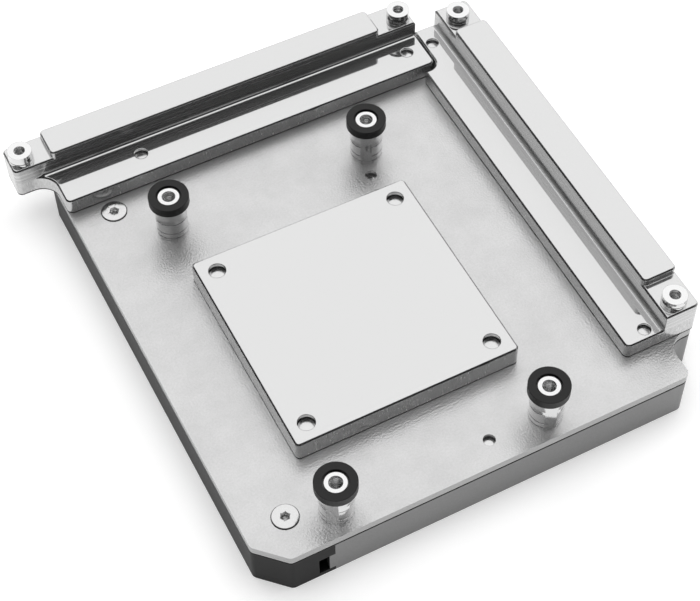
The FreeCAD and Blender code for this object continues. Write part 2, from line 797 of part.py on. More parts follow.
def makeSocketStandoff(name, x, y, turn):
    shoulder = size.board_height + size.washer_rise - size.washer_thickness
    profile = [(zero, -size.socket_stud_length), (size.socket_stud_radius, -size.socket_stud_length),
               (size.socket_stud_radius, zero), (size.barrel_radius, zero),
               (size.barrel_radius, shoulder), (size.neck_radius, shoulder),
               (size.neck_radius, size.board_height), (size.socket_bore_radius, size.board_height),
               (size.socket_bore_radius, size.board_height - size.socket_bore_depth),
               (zero, size.board_height - size.socket_bore_depth)]
    body = turned(name, profile, x, y, plateTop)
    flats = [turnedBy(side, turn) for side in (
        rectangle(size.barrel_flats / 2, -size.barrel_radius, size.barrel_radius, size.barrel_radius),
        rectangle(-size.barrel_radius, -size.barrel_radius, -size.barrel_flats / 2, size.barrel_radius))]
    pocketLoops(body, f"{name}Flats", flats, zero, shoulder, upward=True)
    return body


def makeWasher(name, x, y):
    inner = size.neck_radius + size.washer_clearance
    profile = [(inner, zero), (size.washer_radius, zero), (size.washer_radius, size.washer_thickness),
               (inner, size.washer_thickness)]
    return turned(name, profile, x, y, washerTop - size.washer_thickness)


def makeShortStandoff(name, place, lugHeight):
    height = size.board_height - lugHeight
    profile = [(zero, -size.short_stud_length), (size.short_stud_radius, -size.short_stud_length),
               (size.short_stud_radius, zero), (size.short_radius, zero),
               (size.short_radius, height), (size.short_bore_radius, height),
               (size.short_bore_radius, height - size.short_bore_depth),
               (zero, height - size.short_bore_depth)]
    return turned(name, profile, place[0], place[1], plateTop + lugHeight)


nodes = [makeBasePlate(), makeContactPlate(), makeJetPlate(), makeFlowBody(), makeCover(),
         makeRearBlock(), makeRightBlock()]
for corner, (x, y) in socketPlaces.items():
    nodes.append(makeSocketStandoff(f"socket_standoff_{corner}", x, y, flatTurns[corner]))
    nodes.append(makeWasher(f"washer_{corner}", x, y))
for side, place in zip(("left", "right"), rearStandoffPlaces):
    nodes.append(makeShortStandoff(f"rear_standoff_{side}", place, size.rear_lug_height))
for side, place in zip(("rear", "front"), rightStandoffPlaces):
    nodes.append(makeShortStandoff(f"right_standoff_{side}", place, size.right_lug_height))
nodes.append(gasket("cpu_gasket", window, plateTop))
nodes.append(gasket("rear_block_gasket", rearBlockChannel, plateTop))
nodes.append(gasket("right_block_gasket", rightBlockChannel, plateTop))
gasketSeat = size.seam_height - size.groove_depth
nodes.append(gasket("main_channel_gasket", mainSealed, gasketSeat))
nodes.append(gasket("rear_channel_gasket", rearChannel, gasketSeat))
nodes.append(gasket("outlet_channel_gasket", outletChannel, gasketSeat))

# Every object and every sub-part is checked before anything is written
doc.recompute()
for item in doc.Objects:
    if "Invalid" in item.State or "Error" in item.State:
        raise RuntimeError(f"{item.Label} failed: {item.State}")
for node in nodes:
    if node.Shape.isNull() or not node.Shape.isValid():
        raise RuntimeError(f"{node.Label} has no valid shape")

os.makedirs("parts", exist_ok=True)
for node in nodes:
    node.Shape.exportStep(f"parts/{node.Label}.step")
    print(f"{node.Label}: {len(node.Shape.Solids)} solid, {node.Shape.Volume:.1f} mm3")
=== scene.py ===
import bmesh
import bpy
import math
from mathutils import Matrix, Vector


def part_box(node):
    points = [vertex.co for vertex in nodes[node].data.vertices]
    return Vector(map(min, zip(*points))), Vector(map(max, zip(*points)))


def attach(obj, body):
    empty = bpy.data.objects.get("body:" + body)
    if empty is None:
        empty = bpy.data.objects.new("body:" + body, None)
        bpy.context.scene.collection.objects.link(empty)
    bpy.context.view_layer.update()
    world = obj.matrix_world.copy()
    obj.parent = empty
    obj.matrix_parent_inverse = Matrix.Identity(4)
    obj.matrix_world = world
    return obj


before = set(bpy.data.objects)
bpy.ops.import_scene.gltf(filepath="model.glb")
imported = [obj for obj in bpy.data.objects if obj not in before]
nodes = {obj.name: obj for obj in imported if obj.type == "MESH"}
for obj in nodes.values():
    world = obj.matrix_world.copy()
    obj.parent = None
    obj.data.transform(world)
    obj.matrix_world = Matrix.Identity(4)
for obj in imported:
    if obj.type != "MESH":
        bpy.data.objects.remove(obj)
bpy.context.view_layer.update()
mm = 0.001
print("frame loaded:", len(nodes), "nodes")


# Materials: small helpers first, then a dictionary and a function for each material
noiseSpan = (0.3, 0.7)    # where most values of a noise lie
noiseRoughness = 0.6
upwardLimit = 0.5         # upward part of the normal from which a face counts as a top, chamfers among them
white = (1, 1, 1, 1)


def srgb(code):
    channels = [int(code[i:i + 2], 16) / 255 for i in (1, 3, 5)]
    linear = [c / 12.92 if c <= 0.04045 else ((c + 0.055) / 1.055) ** 2.4 for c in channels]
    return (*linear, 1.0)


def addNode(tree, kind, inputs=None, **properties):
    # inputs give each named or numbered socket a value or the output of another node
    node = tree.nodes.new(kind)
    for key, value in properties.items():
        setattr(node, key, value)
    for key, value in (inputs or {}).items():
        if isinstance(value, bpy.types.NodeSocket):
            tree.links.new(value, node.inputs[key])
        else:
            node.inputs[key].default_value = value
    return node


def newMaterial(name):
    material = bpy.data.materials.new(name)
    material.use_nodes = True
    material.node_tree.nodes.clear()
    return material, material.node_tree


def finishMaterial(tree, shader):
    addNode(tree, "ShaderNodeOutputMaterial", {"Surface": shader.outputs[0]})


def objectPlace(tree):
    return addNode(tree, "ShaderNodeTexCoord").outputs["Object"]


def upPart(tree, vector):
    return addNode(tree, "ShaderNodeSeparateXYZ", {"Vector": vector}).outputs["Z"]


def calculate(tree, operation, *values):
    return addNode(tree, "ShaderNodeMath", dict(enumerate(values)), operation=operation).outputs[0]


def mix(tree, factor, first, second, kind="FLOAT", blend="MIX"):
    values = {"Factor": factor, "A": first, "B": second}
    return addNode(tree, "ShaderNodeMix", values, data_type=kind, blend_type=blend).outputs["Result"]


def remap(tree, value, span, low=0.0, high=1.0, steps="LINEAR"):
    # draws the span of a value out to low and high
    limits = {"Value": value, "From Min": span[0], "From Max": span[1], "To Min": low, "To Max": high}
    return addNode(tree, "ShaderNodeMapRange", limits, interpolation_type=steps).outputs["Result"]


def stretchedNoise(tree, place, sizes, detail=3.0):
    # noise whose grains measure sizes (x, y, z) in mm
    scale = [1 / (size * mm) for size in sizes]
    stretched = addNode(tree, "ShaderNodeMapping", {"Vector": place, "Scale": scale}).outputs["Vector"]
    settings = {"Vector": stretched, "Scale": 1.0, "Detail": detail, "Roughness": noiseRoughness}
    return addNode(tree, "ShaderNodeTexNoise", settings).outputs["Fac"]


def shadeAlong(tree, colour, noise, swing):
    # the colour made darker and lighter along the noise, by the share swing
    tones = remap(tree, noise, noiseSpan, 1 - swing, 1 + swing)
    return mix(tree, 1.0, colour, tones, "RGBA", "MULTIPLY")


def bumpyNormal(tree, height, strength, depth, edgeRadius=0.0, samples=6):
    # depth of the bumps and radius of the rounded edges in mm
    inputs = {"Height": height, "Strength": strength, "Distance": depth * mm}
    if edgeRadius:
        rounded = addNode(tree, "ShaderNodeBevel", {"Radius": edgeRadius * mm}, samples=samples)
        inputs["Normal"] = rounded.outputs["Normal"]
    return addNode(tree, "ShaderNodeBump", inputs).outputs["Normal"]


satinNickel = {
    "colour": "#D5D5D5",
    "stain": "#CECECE",    # faint stains of the plating bath
    "stainSize": 9.0,      # mm across one of them
    "stainSpan": (0.35, 0.65),
    "edge": "#B4B4B4",     # the plate's milled sides, painted darker than its top as shade
    "sheenRoughness": 0.27,
    "hazeRoughness": 0.7,
    "haze": 0.4,           # share of the light that the blasted surface scatters widely
    "grainSize": 0.5,      # mm between the dimples of the bead blasting, coarser than real so that they show
    "grainTone": 0.04,     # how far the dimples lighten and darken the plate
    "grainDepth": 0.2,     # mm
    "grainStrength": 0.5,
}


def makeSatinNickel(look):
    # electroless nickel on a bead blasted copper plate: soft, even sheen with a fine speckle
    material, tree = newMaterial("satin nickel plated copper")
    coords = addNode(tree, "ShaderNodeTexCoord")
    place = coords.outputs["Object"]
    stains = stretchedNoise(tree, place, [look["stainSize"]] * 3, 4.0)
    grain = stretchedNoise(tree, place, [look["grainSize"]] * 3, 2.0)
    stained = mix(tree, remap(tree, stains, look["stainSpan"]), srgb(look["stain"]), srgb(look["colour"]), "RGBA")
    speckled = shadeAlong(tree, stained, grain, look["grainTone"])
    # painted shade: faces that don't look upward get the darker edge colour
    upward = calculate(tree, "GREATER_THAN", upPart(tree, coords.outputs["Normal"]), upwardLimit)
    finish = {"Base Color": mix(tree, upward, srgb(look["edge"]), speckled, "RGBA"), "Metallic": 1.0,
              "Normal": bumpyNormal(tree, grain, look["grainStrength"], look["grainDepth"])}
    sheen = addNode(tree, "ShaderNodeBsdfPrincipled", {**finish, "Roughness": look["sheenRoughness"]})
    haze = addNode(tree, "ShaderNodeBsdfPrincipled", {**finish, "Roughness": look["hazeRoughness"]})
    both = addNode(tree, "ShaderNodeMixShader", {0: look["haze"], 1: sheen.outputs[0], 2: haze.outputs[0]})
    finishMaterial(tree, both)
    return material


polishedNickel = {
    "colour": "#CDCDCD",
    "faceRoughness": 0.04,
    "hazeRoughness": 0.45,
    "haze": 0.12,          # share of the light that fine scratches scatter
    "sideHaze": 0.24,      # the same on the milled sides
    # painted shade: the sides are painted a darker grey than the lapped faces
    "shadedSideColour": "#C4C4C4",
    "sideRoughness": (0.14, 0.28),
    "grainSize": 0.24,     # mm between the side mill's upright marks, coarser than real so that they show
    "grainHeight": 1.4,    # mm along one of them
    "streakWidth": 0.3,    # mm between the cutter marks on the tall bars
    "streakLength": 40.0,  # mm along one of them
    "markTone": 0.2,       # how far the marks lighten and darken the sides
    "markDepth": 0.014,    # mm
    "markStrength": 0.4,
    "edgeRadius": 0.3,     # mm of edge broken by polishing
    "lowBarTop": 18.52,    # mm, above which the sides carry the cutter marks
    "footTop": 19.6,       # mm, top of the fillet at the tall bar's foot
    "footSlope": (0.5, 0.47),    # middle and reach of the upward part of that fillet's normals
    "footRoughness": 0.6,  # where the fillet was blended by hand instead of polished
}


def makePolishedNickel(name, look, cutterMarks=False, handBlended=False):
    # faces lapped flat and mirror bright, sides as milled under the same plating and painted a darker grey as
    # shade;
    # only a block with cutter marks on its tall bar can have a hand blended foot
    material, tree = newMaterial(name)
    coords = addNode(tree, "ShaderNodeTexCoord")
    place = coords.outputs["Object"]
    slope = upPart(tree, coords.outputs["Normal"])
    upward = calculate(tree, "GREATER_THAN", slope, upwardLimit)
    marks = stretchedNoise(tree, place, (look["grainSize"], look["grainSize"], look["grainHeight"]))
    if cutterMarks:
        streaks = stretchedNoise(tree, place, (look["streakLength"], look["streakLength"], look["streakWidth"]),
                                 1.0)
        height = upPart(tree, place)
        above = calculate(tree, "GREATER_THAN", height, look["lowBarTop"] * mm)
        marks = mix(tree, above, marks, streaks)
    # painted shade: sides take the darker side colour, with their mill marks on it
    marked = shadeAlong(tree, srgb(look["shadedSideColour"]), marks, look["markTone"])
    tone = mix(tree, upward, marked, srgb(look["colour"]), "RGBA")
    roughness = mix(tree, upward, remap(tree, marks, noiseSpan, *look["sideRoughness"]), look["faceRoughness"])
    if handBlended:
        curved = calculate(tree, "COMPARE", slope, *look["footSlope"])
        below = calculate(tree, "LESS_THAN", height, look["footTop"] * mm)
        foot = calculate(tree, "MULTIPLY", calculate(tree, "MULTIPLY", curved, below), above)
        roughness = mix(tree, foot, roughness, look["footRoughness"])
    relief = mix(tree, upward, marks, 0.5)    # one height all over the faces, so that they stay flat
    finish = {"Base Color": tone, "Metallic": 1.0,
              "Normal": bumpyNormal(tree, relief, look["markStrength"], look["markDepth"], look["edgeRadius"], 8)}
    sharp = addNode(tree, "ShaderNodeBsdfPrincipled", {**finish, "Roughness": roughness})
    soft = addNode(tree, "ShaderNodeBsdfPrincipled", {**finish, "Roughness": look["hazeRoughness"]})
    share = remap(tree, upward, (0, 1), look["sideHaze"], look["haze"])
    both = addNode(tree, "ShaderNodeMixShader", {0: share, 1: sharp.outputs[0], 2: soft.outputs[0]})
    finishMaterial(tree, both)
    return material


turnedNickel = {
    "colour": "#DCDCDC",
    "roughness": 0.11,
    "markPitch": 0.16,     # mm between the lathe tool's marks, coarser than real so that they show
    "markLength": 6.0,     # mm along one of them
    "markDepth": 0.012,    # mm
    "markStrength": 0.35,
    "edgeRadius": 0.12,    # mm
}


def makeTurnedNickel(look):
    # bright turned and plated brass: sharp reflections with fine rings from the tool
    material, tree = newMaterial("turned nickel plated brass")
    marks = stretchedNoise(tree, objectPlace(tree), (look["markLength"], look["markLength"], look["markPitch"]),
                           1.0)
    normal = bumpyNormal(tree, marks, look["markStrength"], look["markDepth"], look["edgeRadius"])
    finishMaterial(tree, addNode(tree, "ShaderNodeBsdfPrincipled", {
        "Base Color": srgb(look["colour"]), "Metallic": 1.0, "Roughness": look["roughness"], "Normal": normal}))
    return material


blackAcetal = {
    "colour": "#101010",
    "shade": "#0B0B0B",
    "roughness": 0.5,
    "gloss": 0.22,         # specular level, low on a sawn and milled face
    "ior": 1.48,
    "millMark": 0.3,       # mm between the passes of the side mill, coarser than real so that they show
    "markLength": 8.0,     # mm along one of them
    "markDepth": 0.01,     # mm
    "markStrength": 0.2,
    "edgeRadius": 0.15,    # mm
}


def makeBlackAcetal(look):
    # acetal (POM) cut from black sheet: dull black with a soft waxy shine and fine mill marks
    material, tree = newMaterial("milled black acetal")
    marks = stretchedNoise(tree, objectPlace(tree), (look["markLength"], look["markLength"], look["millMark"]))
    normal = bumpyNormal(tree, marks, look["markStrength"], look["markDepth"], look["edgeRadius"])
    finishMaterial(tree, addNode(tree, "ShaderNodeBsdfPrincipled", {
        "Base Color": mix(tree, marks, srgb(look["shade"]), srgb(look["colour"]), "RGBA"),
        "Roughness": look["roughness"], "IOR": look["ior"], "Specular IOR Level": look["gloss"],
        "Normal": normal}))
    return material


greyCover = {
    "colour": "#868686",
    # painted shade: a dark band along the top of the cover's lip, under the plate's edge
    "shadeUnderPlate": "#262626",
    "shadeUnderPlateBottom": 11.2,   # mm, above which the cover's lip is painted dark as the plate's shade
    "roughness": (0.4, 0.5),
    "grainSize": 0.4,      # mm between the dimples of the bead blasting, coarser than real so that they show
    "grainDepth": 0.012,   # mm
    "grainStrength": 0.25,
    "edgeRadius": 0.2,     # mm
}


def makeGreyCover(look):
    # bead blasted and clear anodised aluminium: even grey with a fine sparkle
    material, tree = newMaterial("blasted anodised aluminium")
    place = objectPlace(tree)
    grain = stretchedNoise(tree, place, [look["grainSize"]] * 3, 2.0)
    normal = bumpyNormal(tree, grain, look["grainStrength"], look["grainDepth"], look["edgeRadius"])
    # painted shade: the top band of the cover gets the dark shade colour
    lip = calculate(tree, "GREATER_THAN", upPart(tree, place), look["shadeUnderPlateBottom"] * mm)
    finishMaterial(tree, addNode(tree, "ShaderNodeBsdfPrincipled", {
        "Base Color": mix(tree, lip, srgb(look["colour"]), srgb(look["shadeUnderPlate"]), "RGBA"), "Metallic": 1.0,
        "Roughness": remap(tree, grain, noiseSpan, *look["roughness"]), "Normal": normal}))
    return material


screwSteel = {
    "colour": "#CFCFCF",
    "roughness": (0.17, 0.27),
    "patchSize": 0.8,      # mm
}


def makeScrewSteel(look):
    # stainless steel screws, bright from cold heading
    material, tree = newMaterial("bright stainless steel")
    patches = stretchedNoise(tree, objectPlace(tree), [look["patchSize"]] * 3, 2.0)
    finishMaterial(tree, addNode(tree, "ShaderNodeBsdfPrincipled", {
        "Base Color": srgb(look["colour"]), "Metallic": 1.0,
        "Roughness": remap(tree, patches, noiseSpan, *look["roughness"])}))
    return material


blackNylon = {
    "colour": "#0E0E0E",
    "roughness": (0.37, 0.49),
    "gloss": 0.3,          # specular level of a dull mould
    "ior": 1.53,
    "mottleSize": 0.5,     # mm
    "mottleDepth": 0.01,   # mm
    "mottleStrength": 0.15,
    "edgeRadius": 0.25,    # mm
}


def makeBlackNylon(look):
    # moulded black nylon: slightly mottled satin black
    material, tree = newMaterial("moulded black nylon")
    mottle = stretchedNoise(tree, objectPlace(tree), [look["mottleSize"]] * 3)
    normal = bumpyNormal(tree, mottle, look["mottleStrength"], look["mottleDepth"], look["edgeRadius"])
    finishMaterial(tree, addNode(tree, "ShaderNodeBsdfPrincipled", {
        "Base Color": srgb(look["colour"]), "Roughness": remap(tree, mottle, noiseSpan, *look["roughness"]),
        "IOR": look["ior"], "Specular IOR Level": look["gloss"], "Normal": normal}))
    return material


sealRubber = {
    "colour": "#161616",
    "bloom": "#242424",
    "bloomSize": 1.5,      # mm
    "roughness": 0.7,
    "ior": 1.52,
}


def makeSealRubber(look):
    # nitrile rubber cord: matt black with a faint dusty bloom
    material, tree = newMaterial("nitrile rubber")
    dust = stretchedNoise(tree, objectPlace(tree), [look["bloomSize"]] * 3)
    finishMaterial(tree, addNode(tree, "ShaderNodeBsdfPrincipled", {
        "Base Color": mix(tree, dust, srgb(look["colour"]), srgb(look["bloom"]), "RGBA"),
        "Roughness": look["roughness"], "IOR": look["ior"]}))
    return material


def dressNodes(material, *names):
    for name in names:
        mesh = nodes[name].data
        mesh.materials.clear()
        mesh.materials.append(material)


corners = ("left_rear", "right_rear", "right_front", "left_front")
socketStandoffs = [f"socket_standoff_{corner}" for corner in corners]
lugStandoffs = ["rear_standoff_left", "rear_standoff_right", "right_standoff_rear", "right_standoff_front"]
turned = makeTurnedNickel(turnedNickel)
steel = makeScrewSteel(screwSteel)
acetal = makeBlackAcetal(blackAcetal)
rubber = makeSealRubber(sealRubber)
dressNodes(makeSatinNickel(satinNickel), "base_plate")
dressNodes(makePolishedNickel("lapped nickel plated copper", polishedNickel), "cpu_contact_plate")
dressNodes(makePolishedNickel("polished nickel plated copper", polishedNickel, True), "rear_vrm_block")
dressNodes(makePolishedNickel("hand blended nickel plated copper", polishedNickel, True, True), "right_vrm_block")
dressNodes(turned, *socketStandoffs, *lugStandoffs)
dressNodes(makeBlackNylon(blackNylon), *[f"washer_{corner}" for corner in corners])
dressNodes(acetal, "flow_body")
dressNodes(makeGreyCover(greyCover), "cover")
dressNodes(steel, "jet_plate")
dressNodes(rubber, "cpu_gasket", "rear_block_gasket", "right_block_gasket", "main_channel_gasket",
           "rear_channel_gasket", "outlet_channel_gasket")
print("materials assigned")


# Small turned and threaded pieces
smoothAngle = math.radians(28)
weld = 1e-7    # m, below which two points of a mesh are one


def finishPiece(name, shape, material, place):
    # turns a bmesh into an object at place (mm) that rides on the unit
    bmesh.ops.recalc_face_normals(shape, faces=shape.faces)
    bmesh.ops.translate(shape, verts=shape.verts, vec=Vector(place) * mm)
    mesh = bpy.data.meshes.new(name)
    shape.to_mesh(mesh)
    shape.free()
    for face in mesh.polygons:
        face.use_smooth = True
    mesh.set_sharp_from_angle(angle=smoothAngle)
    mesh.materials.append(material)
    piece = bpy.data.objects.new(name, mesh)
    bpy.context.scene.collection.objects.link(piece)
    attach(piece, "root")


def onCircle(shape, radius, angle, height):
    # new point at radius and height in mm
    return shape.verts.new((radius * mm * math.cos(angle), radius * mm * math.sin(angle), height * mm))


def joinRows(shape, first, second):
    # faces between two rows of points that each close on themselves
    for side in range(len(first)):
        other = (side + 1) % len(first)
        shape.faces.new((first[side], first[other], second[other], second[side]))


def lathe(profile, segments=48):
    # profile lists (radius, height) in mm from the axis to the axis; a third value "hex" gives that circle the
    # outline of a hexagon, its radius then being half the distance across the flats
    shape = bmesh.new()
    circles = []
    for radius, height, *outline in profile:
        if radius == 0:
            circles.append([shape.verts.new((0, 0, height * mm))])
            continue
        circle = []
        for step in range(segments):
            angle = math.tau * step / segments
            reach = radius / math.cos(angle % (math.pi / 3) - math.pi / 6) if outline else radius
            circle.append(onCircle(shape, reach, angle, height))
        circles.append(circle)
    for lower, upper in zip(circles, circles[1:]):
        for step in range(segments):
            following = (step + 1) % segments
            around = [lower[step % len(lower)], lower[following % len(lower)],
                      upper[following % len(upper)], upper[step % len(upper)]]
            shape.faces.new(dict.fromkeys(around))
    return shape


def middleTop(name):
    low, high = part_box(name)
    return ((low[0] + high[0]) / 2 / mm, (low[1] + high[1]) / 2 / mm, high[2] / mm)


# Screws, each at the bottom of its seat; lengths in mm
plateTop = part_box("base_plate")[1][2] / mm
contactBox = [[value / mm for value in corner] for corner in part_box("cpu_contact_plate")]
contactMiddle = [(low + high) / 2 for low, high in zip(*contactBox)]

contactScrews = {
    "reach": 24.15,        # from the plate's middle, in x and in y
    "seatDepth": 3.9,
    "headRadius": 2.0,
    "headHeight": 2.6,
    "edge": 0.12,
    "edgeMiddle": (0.35, 0.3),       # shares of the edge, inward and down, where its rounding is half done
}

blockScrews = {
    "places": {"rear_left": (-25.65, 66.9), "rear_right": (50.4, 66.9), "right_rear": (58.1, 66.8),
               "right_front": (58.1, -37.7)},
    "top": 18.5,
    "seatDepth": 2.3,
    "headRadius": 1.55,
    "headHeight": 1.5,
    "edge": 0.1,
    "edgeMiddle": (0.35, 0.3),
}

smallScrews = {
    "places": {"rear": (24.3, 37.2), "front": (12.1, -45.0)},
    "seatDepth": 2.0,
    "headRadius": 1.4,
    "headHeight": 0.9,
    "edge": 0.1,
    "edgeMiddle": (0.35, 0.3),
}

hexScrews = {
    "places": {"rear": (-38.0, 56.3), "front": (-38.0, -41.4)},
    "seatDepth": 1.3,
    "headRadius": 3.1,
    "headHeight": 1.72,
    "edge": 0.18,
    "edgeMiddle": (0.3, 0.3),
    "socket": 2.0,         # across the flats
    "socketDepth": 1.2,
    "rim": 0.3,            # between the socket's flats and the round part of the face
    "mouth": 0.05,         # width of the chamfer round the socket
    "mouthTop": 0.08,      # depths of that chamfer's edges
    "mouthBottom": 0.2,
    "floorShare": 0.9,     # size of the socket's floor beside its mouth
    "floorDrop": 0.05,
    "drillRadius": 0.3,    # tip of the drill below the floor
    "drillDepth": 0.7,
}


def headOutline(look):
    # from the axis at the foot of a flat head to the inside of its rounded edge
    radius, height, edge = look["headRadius"], look["headHeight"], look["edge"]
    inward, down = look["edgeMiddle"]
    return [(0, 0), (radius, 0), (radius, height - edge), (radius - edge * inward, height - edge * down),
            (radius - edge, height)]


def addScrew(name, look, x, y, top, middle):
    shape = lathe(headOutline(look) + middle)
    finishPiece(name, shape, steel, (x, y, top - look["seatDepth"]))


def addPlainScrew(name, look, x, y, top):
    # flat round head, seen from above as a bright disc
    addScrew(name, look, x, y, top, [(0, look["headHeight"])])


def addHexScrew(name, look, x, y, top):
    # flat head with a chamfered hexagon socket
    half, height = look["socket"] / 2, look["headHeight"]
    floor = height - look["socketDepth"]
    drill = floor - look["drillDepth"]
    addScrew(name, look, x, y, top, [
        (half + look["rim"], height), (half + look["mouth"], height - look["mouthTop"], "hex"),
        (half, height - look["mouthBottom"], "hex"), (half, floor, "hex"),
        (half * look["floorShare"], floor - look["floorDrop"], "hex"), (look["drillRadius"], drill), (0, drill)])


for number, (acrossX, acrossY) in enumerate(((-1, -1), (-1, 1), (1, -1), (1, 1)), 1):
    addPlainScrew(f"contact_screw_{number}", contactScrews,
                  contactMiddle[0] + acrossX * contactScrews["reach"],
                  contactMiddle[1] + acrossY * contactScrews["reach"], contactBox[1][2])
for side, (x, y) in blockScrews["places"].items():
    addPlainScrew(f"block_screw_{side}", blockScrews, x, y, blockScrews["top"])
for side, (x, y) in smallScrews["places"].items():
    addPlainScrew(f"plate_small_screw_{side}", smallScrews, x, y, plateTop)
for side, (x, y) in hexScrews["places"].items():
    addHexScrew(f"plate_hex_screw_{side}", hexScrews, x, y, plateTop)
print("screws placed")


bands = {                  # lengths in mm, angles in degrees
    "rise": 0.1,           # that the turned bands stand proud of a barrel
    "cut": 0.05,           # that a groove goes below it
    "grooveAbove": 0.1,    # from a groove's bottom up to its edge
    "grooveBelow": 0.16,   # and down to its other edge
    "footOuter": 0.03,     # heights of the lowest band's edges over the foot
    "footInner": 0.01,
    "stepAngle": 5,
    "fewestSteps": 8,
    "socketGrooves": (5.66, 2.35, 0.65),
    "socketTop": 7.3,
    "socketTurns": {"left_rear": 162, "right_rear": 62, "right_front": 73, "left_front": 50},    # of the flats
    "socketRadius": 4.0,
    "socketFlats": 7.5,
    "lugGrooves": (1.0,),
    "lugRadius": 3.0,
    "lugSunk": 4.0,        # of a lug's standoff, inside the lug
    "lugRim": 0.5,         # left free below its top
}


def turnedBands(radius, top, grooves, spans):
    # sleeve with fine V grooves round a barrel, over spans of (first, last) angle
    out = radius + bands["rise"]
    deep = radius - bands["cut"]
    section = [(deep, top)]
    for height in grooves:
        section += [(out, height + bands["grooveAbove"]), (deep, height), (out, height - bands["grooveBelow"])]
    section += [(out, bands["footOuter"]), (deep, bands["footInner"])]
    shape = bmesh.new()
    for first, last in spans:
        steps = max(bands["fewestSteps"], round((last - first) / bands["stepAngle"]))
        rows = []
        for step in range(steps + 1):
            angle = math.radians(first + (last - first) * step / steps)
            rows.append([onCircle(shape, reach, angle, height) for reach, height in section])
        for here, there in zip(rows, rows[1:]):
            joinRows(shape, here, there)
        if last - first < 360:
            shape.faces.new(rows[0])
            shape.faces.new(reversed(rows[-1]))
    bmesh.ops.remove_doubles(shape, verts=shape.verts, dist=weld)
    return shape


flatHalf = math.degrees(math.acos(bands["socketFlats"] / 2 / bands["socketRadius"]))
for corner, turn in bands["socketTurns"].items():
    x, y = middleTop(f"socket_standoff_{corner}")[:2]
    spans = [(turn + flatHalf, turn + 180 - flatHalf), (turn + 180 + flatHalf, turn + 360 - flatHalf)]
    shape = turnedBands(bands["socketRadius"], bands["socketTop"], bands["socketGrooves"], spans)
    finishPiece(f"socket_bands_{corner}", shape, turned, (x, y, plateTop))
for name in lugStandoffs:
    x, y, z = middleTop(name)
    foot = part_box(name)[0][2] / mm + bands["lugSunk"]
    shape = turnedBands(bands["lugRadius"], z - foot - bands["lugRim"], bands["lugGrooves"], [(0, 360)])
    finishPiece(name.replace("standoff", "bands"), shape, turned, (x, y, foot))
print("bands turned")


undercutShadeStrips = {
    "nodes": ("cpu_contact_plate", "rear_vrm_block", "right_vrm_block"),
    "reach": 0.34,         # mm that the black strip fills of the undercut round each foot
    "height": 0.3,         # mm
    "overlap": 0.1,        # mm, so that the strips meet at the corners
    "underside": -0.95,    # upward part of the normal of a foot's underside, or less
    "undercut": (-0.85, -0.55),    # the same for the slope beside it, from and to
    "tolerance": 0.01,     # mm
    "weld": 1e-6,          # m, below which two points of the CAD mesh are one
}


def undercutShadeStrip(name, look):
    # black rubber strip in the undercut between a block's foot and the main plate: painted shade, standing in for
    # the undercut's shadow
    source = bmesh.new()
    source.from_mesh(nodes[name].data)
    bmesh.ops.transform(source, matrix=nodes[name].matrix_world, verts=source.verts)
    bmesh.ops.remove_doubles(source, verts=source.verts, dist=look["weld"])
    source.normal_update()
    steepest, shallowest = look["undercut"]
    rise = Vector((0, 0, look["height"] * mm))
    shape = bmesh.new()
    for edge in source.edges:
        flat = [face for face in edge.link_faces if face.normal.z < look["underside"]]
        slope = [face for face in edge.link_faces if steepest < face.normal.z < shallowest]
        first, last = (vert.co for vert in edge.verts)
        onPlate = all(abs(end.z / mm - plateTop) <= look["tolerance"] for end in (first, last))
        if not (flat and slope and onPlate):
            continue
        outward = Vector((slope[0].normal.x, slope[0].normal.y, 0)).normalized() * look["reach"] * mm
        spare = (last - first).normalized() * look["overlap"] * mm
        ends = [[shape.verts.new(end + shift) for shift in (Vector(), outward, outward + rise, rise)]
                for end in (first - spare, last + spare)]
        joinRows(shape, *ends)
        shape.faces.new(ends[0])
        shape.faces.new(reversed(ends[1]))
    source.free()
    return shape


# painted shade: black strips fill the undercuts at the blocks' feet
for name in undercutShadeStrips["nodes"]:
    finishPiece(f"{name}_undercut_shade_strip", undercutShadeStrip(name, undercutShadeStrips), rubber, (0, 0, 0))
print("undercut shade strips laid")


threads = {                # lengths in mm; sunk is the depth of the first turn's middle in the bore
    "socket": {"wall": 1.66, "crest": 1.46, "pitch": 0.7, "length": 7.0, "sunk": 0.5, "segments": 40},
    "lug": {"wall": 1.41, "crest": 1.24, "pitch": 0.5, "length": 1.9, "sunk": 0.25, "segments": 40},
    "port": {"wall": 5.92, "crest": 5.5, "pitch": 1.337, "length": 8.0, "segments": 64},
    "portPlaces": {"inlet": (-39.45, -0.6, 9.0), "outlet": (-39.45, 34.0, 9.0)},
    "wallHalf": 0.42,      # half the ridge's height at the bore's wall, in pitches
    "crestHalf": 0.06,     # and at its crest
}


def innerThread(look):
    # ridge of a nut thread that winds down a bore from height 0 and fades out at both ends
    wall, crest, pitch, segments = look["wall"], look["crest"], look["pitch"], look["segments"]
    wallHalf, crestHalf = threads["wallHalf"] * pitch, threads["crestHalf"] * pitch
    shape = bmesh.new()
    steps = int(segments * look["length"] / pitch)
    rows = []
    for step in range(steps + 1):
        angle = math.tau * step / segments
        drop = -look["length"] * step / steps
        swell = min(1, step / segments, (steps - step) / segments)
        ridge = wall + (crest - wall) * swell
        rows.append([onCircle(shape, reach, angle, drop + rise)
                     for reach, rise in ((wall, wallHalf), (ridge, crestHalf), (ridge, -crestHalf),
                                         (wall, -wallHalf))])
    for first, second in zip(rows, rows[1:]):
        joinRows(shape, first, second)
    shape.faces.new(rows[0])
    shape.faces.new(reversed(rows[-1]))
    bmesh.ops.remove_doubles(shape, verts=shape.verts, dist=weld)
    return shape


for names, look in ((socketStandoffs, threads["socket"]), (lugStandoffs, threads["lug"])):
    for name in names:
        x, y, z = middleTop(name)
        finishPiece(name.replace("standoff", "thread"), innerThread(look), turned,
                    (x, y, z - look["sunk"]))
for side, place in threads["portPlaces"].items():
    finishPiece(f"{side}_port_thread", innerThread(threads["port"]), acetal, place)
print("threads cut")


